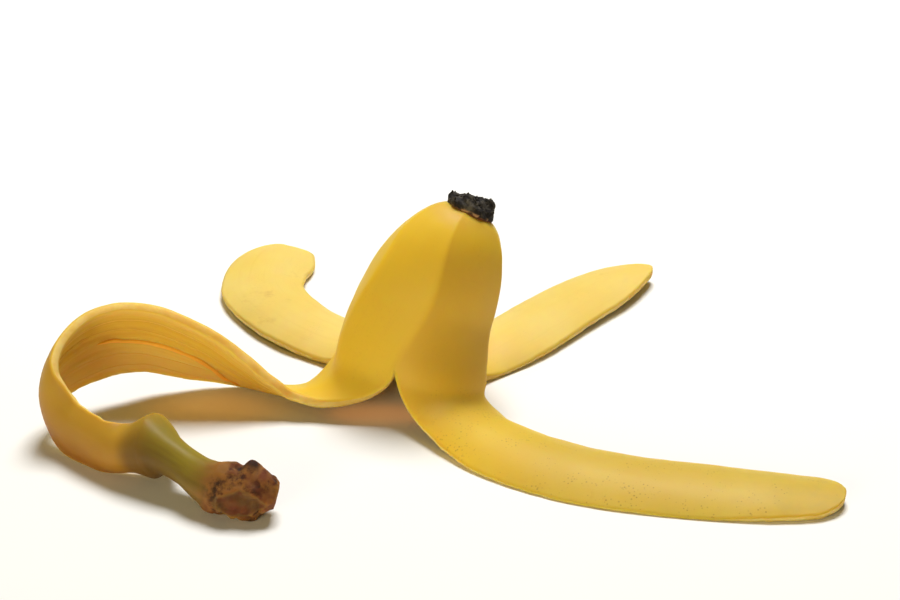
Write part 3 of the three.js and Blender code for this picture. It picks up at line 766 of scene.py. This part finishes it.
def peelMaterial():
    look = peelLook
    material, w, shader = newMaterial("peelSurface", look["scatter"], look["scatterReach"], look["shine"])
    along, girth, edge = w.read("along"), w.read("girth"), w.read("edge")
    inner, torn, stemward = w.read("inner"), w.read("torn"), w.read("stemward")
    crag, cut, lump = w.read("crag"), w.read("cut"), w.read("lump")
    at = w.place()
    fibres = w.noise(w.vector(along * 0.018, girth * 0.55, inner * 7.0), 1.0, 4.0, 0.6)
    fine = w.noise(w.vector(along * 0.05, girth * 2.4, inner * 3.0), 1.0, 3.0, 0.6)
    cloud = w.noise(at, 28.0, 3.0, 0.5)
    mottle = w.noise(at, 190.0, 3.0, 0.6)
    # skin of the cap and of each strip
    tears = [math.radians(strip["middle"] - strip["half"]) * cap["radius"] for strip in strips[1:]]
    soft = look["tearLine"]
    pastLoop, pastFront, pastRear = (girth.step(tear - soft, tear + soft) for tear in tears)
    isLoop = pastLoop * (1.0 - pastFront)
    isFront = pastFront * (1.0 - pastRear)
    isRear = 1.0 - isFront - isLoop
    patchy = cloud.step(0.3, 0.72)
    skin = patchy.blend(look["gold"], look["goldLight"])
    paler = (along + (cloud - 0.5) * 24.0).step(54.0, 96.0) * isFront
    skin = paler.blend(skin, patchy.blend(look["front"], look["frontLight"]))
    skin = (along.step(46.0, 62.0) * isRear).blend(skin, patchy.blend(look["rear"], look["rearLight"]))
    # the loop band's own duller ochre, with painted light on its upper side and painted shade towards its
    # lower edge
    loopToneAndShade = (girth + (cloud - 0.5) * 12.0).step(-74.0, -46.0).blend(look["loopShadedLower"], look["loopLitUpper"])
    skin = (along.step(100.0, 160.0) * isLoop).blend(skin, loopToneAndShade)
    # painted shade: the cap's front facet is tinted darker ochre, fading out towards the crown
    shaded = girth.step(-42.0, -38.0) * (1.0 - girth.step(-3.0, 1.0))  # the cap's front facet
    shaded = shaded * along.step(3.0, 14.0) * (1.0 - along.step(36.0, 70.0))
    skin = (shaded * 0.7).blend(skin, look["ochre"])
    # painted light: the front strip is lightened where it bends out of the cap
    litBend = isFront * along.step(38.0, 50.0) * (1.0 - along.step(52.0, 64.0))
    skin = (litBend * look["bendLightShare"]).blend(skin, look["bendPaintedLight"])
    skin = (fibres.step(0.5, 0.85) * 0.16).blend(skin, look["ochre"])
    farOut = along.step(110.0, 190.0) * isFront
    farOut = farOut + along.step(134.0, 152.0) * pastRear
    skin = (farOut * mottle.step(0.35, 0.75) * 0.4).blend(skin, look["olive"])
    # speckles and smudges
    spots = w.cells(at, 900.0)
    size = w.noise(at, 70.0, 2.0).step(0.36, 0.62) * 0.34
    strewn = isFront * along.step(40.0, 78.0) * 0.55 + 0.06
    speckled = (1.0 - spots.step(size * 0.4, size + 0.02)) * strewn * mottle.step(0.35, 0.6)
    skin = speckled.blend(skin, look["speckle"])
    smudge = w.noise(at, 75.0, 4.0, 0.65).step(0.6, 0.78) * along.step(60.0, 100.0) * 0.4
    skin = smudge.blend(skin, look["bruise"])
    rim = (1.0 - edge.step(0.1, 1.1)) * 0.4
    skin = rim.blend(skin, look["ochre"])
    crown = (1.0 - along.step(2.0, 6.0)) * 0.35
    skin = crown.blend(skin, look["bruise"])
    # flesh side and torn edges
    flesh = (fibres.step(0.35, 0.7) * 0.5).blend(look["flesh"], look["fleshDeep"])
    flesh = (fine.step(0.55, 0.8) * 0.3).blend(flesh, look["fleshPale"])
    flesh = ((1.0 - edge.step(0.5, 5.0)) * 0.5).blend(flesh, look["fleshPale"])
    # painted light: the loop's flesh side is paler towards its lower edge, lifting the shade there
    flesh = ((1.0 - girth.step(-72.0, -52.0)) * isLoop * 0.8).blend(flesh, look["fleshPale"])
    tear = (fine * 0.5 + mottle * 0.5).step(0.36, 0.64).blend(look["torn"], look["tornDeep"])
    colour = inner.step(0.55, 1.0).blend(skin, flesh)
    colour = torn.step(0.25, 0.8).blend(colour, tear)
    # stem
    stripe = w.noise(w.vector(along * 0.04, girth * 0.35, 2.0), 1.0, 3.0, 0.55)
    # painted highlight along the stem's upper side and painted shade along its lower side
    litStemSide = (girth + (stripe - 0.5) * 12.0).step(-66.0, -46.0)
    green = litStemSide.blend(look["oliveStem"], look["stemLitLime"])
    green = ((stemward + (mottle - 0.5) * 8.0).step(30.0, 52.0) * 0.6).blend(green, look["oliveStem"])
    colour = (stemward + stripe * 8.0 + mottle * 4.0).step(18.0, 36.0).blend(colour, green)
    neck = stemward.step(10.0, 17.0) * (1.0 - stemward.step(25.0, 40.0))
    neck = neck * (1.0 - girth.step(-60.0, -46.0) * 0.7)  # weaker on its upper side
    colour = (neck * 0.75).blend(colour, look["neckShade"])
    colour = ((stemward + (stripe - 0.5) * 12.0).step(40.0, 52.0) * 0.85).blend(colour, look["brown"])
    rocky = w.noise(at, 260.0, 4.0, 0.65)
    bark = rocky.step(0.36, 0.56).blend(look["darkBrown"], look["brown"])
    bark = (w.noise(at, 140.0, 3.0).step(0.46, 0.66) * 0.9).blend(bark, look["redBrown"])
    bark = (lump + (rocky - 0.5) * 0.5).step(0.2, 0.8).blend(bark, look["warmBark"])
    bark = (rocky * 0.5 - lump - 0.25).step(0.2, 0.7).blend(bark, look["darkBrown"])
    colour = (crag + (rocky - 0.5) * 0.7).step(0.2, 0.7).blend(colour, bark)
    raw = mottle.step(0.3, 0.7).blend(look["rawCut"], look["redBrown"])
    raw = (1.0 - (cut + (rocky - 0.5) * 1.2).step(0.35, 0.7)).blend(raw, look["rawRim"])
    colour = (cut + (rocky - 0.5) * 0.6).step(0.2, 0.5).blend(colour, raw)
    pores = w.noise(at, 900.0, 2.0, 0.5)
    roughness = 0.5 + (fibres - 0.5) * 0.1 + torn * 0.2 + inner * 0.1 + crag * 0.25
    height = pores * 0.1 + (inner + torn) * (fine * 0.6 + fibres * 0.2) + crag * rocky * 2.0 + mottle * 0.08
    finishMaterial(w, shader, colour, roughness, height, look["relief"], look["reliefDepth"])
    return material

blossomLook = {
    "shine": 0.3,
    "relief": 0.8,
    "reliefDepth": 0.001,
    "char": tone(24, 19, 17),
    "ashLitPeaks": tone(86, 79, 68),
    "rust": tone(104, 60, 26),
    "tan": tone(172, 132, 92),
}

def blossomMaterial():
    look = blossomLook
    material, w, shader = newMaterial("blossomCrust", specular=look["shine"])
    at, along = w.place(), w.read("along")
    lumps = w.noise(at, 330.0, 4.0, 0.65)
    # dark char and grey ash; the ash sits on the raised lumps, partly as a painted highlight
    shade = lumps.step(0.42, 0.66).blend(look["char"], look["ashLitPeaks"])
    uneven = w.noise(at, 200.0)
    tanned = (along + uneven * 2.4).step(-0.8, 0.4) * uneven.step(0.48, 0.62)
    ring = 1.0 - (along + uneven * 1.6).step(-0.7, -0.2)
    band = 1.0 - (along + uneven * 1.6).step(-0.1, 0.7)
    colour = (band * tanned).blend(shade, look["tan"])
    colour = ring.blend(colour, look["rust"])
    roughness = 0.62 + lumps * 0.3
    height = lumps + w.noise(at, 1200.0) * 0.3
    finishMaterial(w, shader, colour, roughness, height, look["relief"], look["reliefDepth"])
    return material

peelSurface = peelMaterial()
blossomCrust = blossomMaterial()
peelBody.data.materials.append(peelSurface)
blossomEnd.data.materials.append(blossomCrust)
print("materials made")

# Grown pieces: strands on the flesh side, chips on the blossom end

def newTree(name, inputs):  # a geometry tree with named inputs
    tree = bpy.data.node_groups.new(name, "GeometryNodeTree")
    tree.interface.new_socket("Geometry", in_out="INPUT", socket_type="NodeSocketGeometry")
    for label, kind in inputs:
        tree.interface.new_socket(label, in_out="INPUT", socket_type="NodeSocket" + kind)
    tree.interface.new_socket("Geometry", in_out="OUTPUT", socket_type="NodeSocketGeometry")
    start = tree.nodes.new("NodeGroupInput")
    return tree, {socket.name: Wire(tree, socket) for socket in start.outputs if socket.name}

def endTree(tree, grown, surface):
    real = grown.make("GeometryNodeRealizeInstances", {}, {"Geometry": grown})
    painted = grown.make("GeometryNodeSetMaterial", {}, {"Geometry": real, "Material": surface})
    end = tree.nodes.new("NodeGroupOutput")
    tree.links.new(painted.socket, end.inputs[0])

def growPiece(name, base, tree, values):  # runs the tree on the base and keeps a plain mesh
    modifier = base.modifiers.new(name, "NODES")
    modifier.node_group = tree
    for item in tree.interface.items_tree:
        if item.in_out == "INPUT" and item.name in values:
            modifier[item.identifier] = values[item.name]
    bpy.context.view_layer.update()
    graph = bpy.context.evaluated_depsgraph_get()
    mesh = bpy.data.meshes.new_from_object(base.evaluated_get(graph))
    base.modifiers.remove(modifier)
    mesh.name = name
    mesh.polygons.foreach_set("use_smooth", np.ones(len(mesh.polygons), bool))
    piece = addObject(name, mesh)
    placePeel(piece)
    return piece

strands = {
    "across": (-0.8, -0.46, 0.3, 0.62, 0.84),
    "wander": 0.05,
    "from": 16.0,  # mm down from the blossom end
    "fromSpread": 14.0,
    "endSpread": 10.0,
    "thinnest": 0.6,
    "widthSpread": 0.7,
    "spacing": 1.1,
    "radius": 0.13,
    "uneven": 0.8,
    "seed": 4,
    "sides": 6,
    "clear": 0.3,  # kept above the floor, mm
    "bright": (  # the loose orange strand: mm down the strip, place across
        (92, 0.05), (85.8, 0.0), (81.6, -0.08), (74, -0.1),
        (65, -0.08), (56.7, -0.12), (47.2, -0.38), (42, -0.7),
    ),
    "brightPoints": 70,
    "brightWidth": 5.0,
    "brightLift": 0.9,  # how far its loose start stands off, mm
    "brightRise": 0.12,  # how far the rest of it does
    "strand": tone(236, 194, 84),
    "orange": tone(250, 178, 58),
}

def fleshLine(strip, along, across, lift):  # points on the flesh side
    angle = strip["middle"] + across * strip["half"]
    level = np.clip(along / cap["length"], 0.03, 1.0)
    down = np.maximum(along - cap["length"], 0.03)
    surface = lambda d, u: stripPoint(strip, d, u)
    start = smooth(down / peel["seamRun"])[:, None]
    capNormal = normalOf(capPoint, level, angle)
    normal = unit(capNormal + (normalOf(surface, down, across) - capNormal) * start)
    onStrip = surface(down, across)
    onStrip = onStrip + (liftSkin(onStrip, normal) - onStrip) * start
    skin = np.where((along < cap["length"])[:, None], capPoint(level, angle), onStrip)
    return skin - normal * (fleshDepth(along, angle) + lift)[:, None]

def strandGuides():
    points, edges, width, tint = [], [], [], []

    def lay(line, wide, orange):
        first = sum(len(part) for part in points)
        points.append(line)
        edges.extend((first + k, first + k + 1) for k in range(len(line) - 1))
        width.extend([wide] * len(line))
        tint.extend([orange] * len(line))

    draw = np.random.default_rng(strands["seed"])
    for strip in strips:
        closed = stem["neck"] if strip["name"] == "stemSide" else strip["endRound"] * 0.6
        for place in strands["across"]:
            begin = strands["from"] + strands["fromSpread"] * draw.random()
            finish = cap["length"] + strip["length"] - closed - strands["endSpread"] * draw.random()
            along = np.arange(begin, finish, strands["spacing"])
            across = place + strands["wander"] * wander(along * 0.06, 9 * draw.random())
            line = fleshLine(strip, along, across, np.zeros_like(along))
            lay(line, strands["thinnest"] + strands["widthSpread"] * draw.random(), 0.0)
        if strip["name"] == "stemSide":
            share = np.linspace(0, 1, strands["brightPoints"])
            down, across = spline(strands["bright"], share).T
            loose = strands["brightLift"] * (1 - smooth(4 * share))  # lies down after a quarter
            line = fleshLine(strip, cap["length"] + down, across, loose + strands["brightRise"])
            lay(line, strands["brightWidth"], 1.0)
    places = np.concatenate(points)
    places[:, 2] = np.maximum(places[:, 2], frameOrigin[2] + strands["clear"])
    mesh = bpy.data.meshes.new("strandGuides")
    mesh.from_pydata(((places - frameOrigin) * mm).tolist(), edges, [])
    for name, values in (("width", width), ("tint", tint)):
        layer = mesh.attributes.new(name, "FLOAT", "POINT")
        layer.data.foreach_set("value", np.array(values, np.float32))
    return addObject("strandGuides", mesh)

def strandTree():  # sweeps an uneven round section along each guide
    tree, given = newTree("strandTree", (
        ("Radius", "Float"), ("Uneven", "Float"), ("Seed", "Float"),
        ("Sides", "Int"), ("Surface", "Material")))
    w = given["Geometry"]
    curve = w.make("GeometryNodeMeshToCurve", {}, {"Mesh": w})
    share = w.make("GeometryNodeSplineParameter")
    ends = share.math("POWER", share.math("ABSOLUTE", share * 2.0 - 1.0), 8.0)
    wide = w.make("GeometryNodeInputNamedAttribute", {"data_type": "FLOAT"}, {"Name": "width"})
    bumps = w.make("ShaderNodeTexNoise", {"noise_dimensions": "4D"}, {"W": given["Seed"], "Scale": 180.0})
    radius = given["Radius"] * wide * (1.0 - ends * 0.85) * (1.0 + (bumps - 0.5) * given["Uneven"])
    ring = w.make("GeometryNodeCurvePrimitiveCircle", {}, {"Resolution": given["Sides"], "Radius": 1.0})
    swept = w.make("GeometryNodeCurveToMesh", {}, {
        "Curve": curve, "Profile Curve": ring, "Scale": radius, "Fill Caps": True})
    endTree(tree, swept, given["Surface"])
    return tree

def strandMaterial():
    material, w, shader = newMaterial("strandFibre", specular=0.3)
    at = w.place()
    shade = w.read("tint").blend(strands["strand"], strands["orange"])
    finishMaterial(w, shader, shade, 0.5 + w.noise(at, 300.0) * 0.1, w.noise(at, 700.0), 0.3, 0.0004)
    return material

def makeStrands():
    guides = strandGuides()
    piece = growPiece("fleshStrands", guides, strandTree(), {
        "Radius": strands["radius"] * mm, "Uneven": strands["uneven"], "Seed": float(strands["seed"]),
        "Sides": strands["sides"], "Surface": strandMaterial()})
    bpy.data.objects.remove(guides)
    return piece

chips = {
    "density": 420000.0,  # per square metre
    "size": 0.95,
    "smallest": 0.35,
    "flat": (1.0, 0.62, 0.38),
    "turn": 6.3,  # widest random turn about each axis, radians
    "seed": 11,
}

def chipTree():  # strews flat angular chips over the crust
    tree, given = newTree("chipTree", (
        ("Density", "Float"), ("Size", "Float"), ("Smallest", "Float"),
        ("Flat", "Vector"), ("Seed", "Int"), ("Surface", "Material")))
    w = given["Geometry"]
    rough = w.make("GeometryNodeInputNamedAttribute", {"data_type": "FLOAT"}, {"Name": "crag"})
    points = w.make("GeometryNodeDistributePointsOnFaces", {}, {
        "Mesh": w, "Selection": rough - 0.4, "Density": given["Density"], "Seed": given["Seed"]})
    chip = w.make("GeometryNodeMeshIcoSphere", {}, {"Radius": 1.0, "Subdivisions": 1})
    turn = w.make("FunctionNodeRandomValue", {"data_type": "FLOAT_VECTOR"}, {
        0: (0, 0, 0), 1: (chips["turn"],) * 3, "Seed": given["Seed"]})
    big = w.make("FunctionNodeRandomValue", {"data_type": "FLOAT"}, {
        2: given["Smallest"], 3: 1.0, "Seed": given["Seed"] + 1.0}, 1)
    scale = w.make("ShaderNodeVectorMath", {"operation": "SCALE"}, {
        0: given["Flat"], "Scale": big * given["Size"]})
    strewn = w.make("GeometryNodeInstanceOnPoints", {}, {
        "Points": points, "Instance": chip, "Rotation": turn, "Scale": scale})
    endTree(tree, strewn, given["Surface"])
    return tree

def makeChips():
    piece = growPiece("blossomChips", blossomEnd, chipTree(), {
        "Density": chips["density"], "Size": chips["size"] * mm, "Smallest": chips["smallest"],
        "Flat": chips["flat"], "Seed": chips["seed"], "Surface": blossomCrust})
    piece.data.polygons.foreach_set("use_smooth", np.zeros(len(piece.data.polygons), bool))
    return piece

fleshStrands = makeStrands()
print("strands grown", len(fleshStrands.data.polygons), "faces")
blossomChips = makeChips()
print("chips grown", len(blossomChips.data.polygons), "faces")

# Floor and light

studio = {
    "floorSize": 6.0,
    "floor": tone(250, 250, 248),
    "floorLight": tone(252, 252, 251),
    "worldStrength": 0.1,
    "worldTint": (1.0, 0.78, 0.45, 1.0),
    "topPower": 19.0,
    "topSize": 0.55,
    "topAt": (0.12, 0.5, 1.2),
    "fillPower": 14.0,
    "fillSize": 0.7,
    "fillAt": (-0.8, -1.4, 0.28),  # low, so that it lights what stands up and hardly the floor
    "fillTint": (1.0, 0.92, 0.58),
    "glowTint": (1.0, 0.32, 0.05),  # light that the peel lets through into its shadows
    "glows": (  # middle in mm, size in mm, power
        ((-62, -5, 7), (50, 16), 0.0004), ((-14, -10, 5), (34, 12), 0.00032),
    ),
}

def makeFloor():
    half = studio["floorSize"] / 2
    mesh = bpy.data.meshes.new("floor")
    corners = [(-half, -half, 0), (half, -half, 0), (half, half, 0), (-half, half, 0)]
    mesh.from_pydata(corners, [], [(0, 1, 2, 3)])
    floor = addObject("floor", mesh)
    material, w, shader = newMaterial("floorPaint", specular=0.1)
    at = w.place()
    colour = w.noise(at, 3.0).step(0.2, 0.8).blend(studio["floor"], studio["floorLight"])
    finishMaterial(w, shader, colour, 0.8 + w.noise(at, 5.0) * 0.05, w.noise(at, 40.0), 0.02, 0.0005)
    mesh.materials.append(material)

def makeLight(name, power, size, at, tint=(1.0, 1.0, 1.0)):  # faces the origin
    data = bpy.data.lights.new(name, "AREA")
    data.energy = power
    data.size = size
    data.color = tint
    lamp = addObject(name, data)
    lamp.location = at
    x, y, z = at
    lamp.rotation_euler = (math.atan2(math.hypot(x, y), z), 0, math.atan2(-y, -x) - math.pi / 2)

def makeGlow(name, middle, size, power):  # faces straight down
    data = bpy.data.lights.new(name, "AREA")
    data.shape = "ELLIPSE"
    data.size, data.size_y = (v * mm for v in size)
    data.energy = power
    data.color = studio["glowTint"]
    lamp = addObject(name, data)
    lamp.location = (np.array(middle) - frameOrigin) * mm

def makeWorld():
    world = bpy.data.worlds.new("studio")
    world.use_nodes = True
    backdrop = world.node_tree.nodes["Background"]
    backdrop.inputs["Color"].default_value = studio["worldTint"]
    backdrop.inputs["Strength"].default_value = studio["worldStrength"]
    bpy.context.scene.world = world

bpy.context.scene.view_settings.view_transform = "Standard"  # keeps the yellows clean
makeFloor()
makeLight("topLight", studio["topPower"], studio["topSize"], studio["topAt"])
makeLight("fillLight", studio["fillPower"], studio["fillSize"], studio["fillAt"], studio["fillTint"])
for k, (middle, size, power) in enumerate(studio["glows"]):
    makeGlow(f"glow{k + 1}", middle, size, power)
makeWorld()
print("studio made")
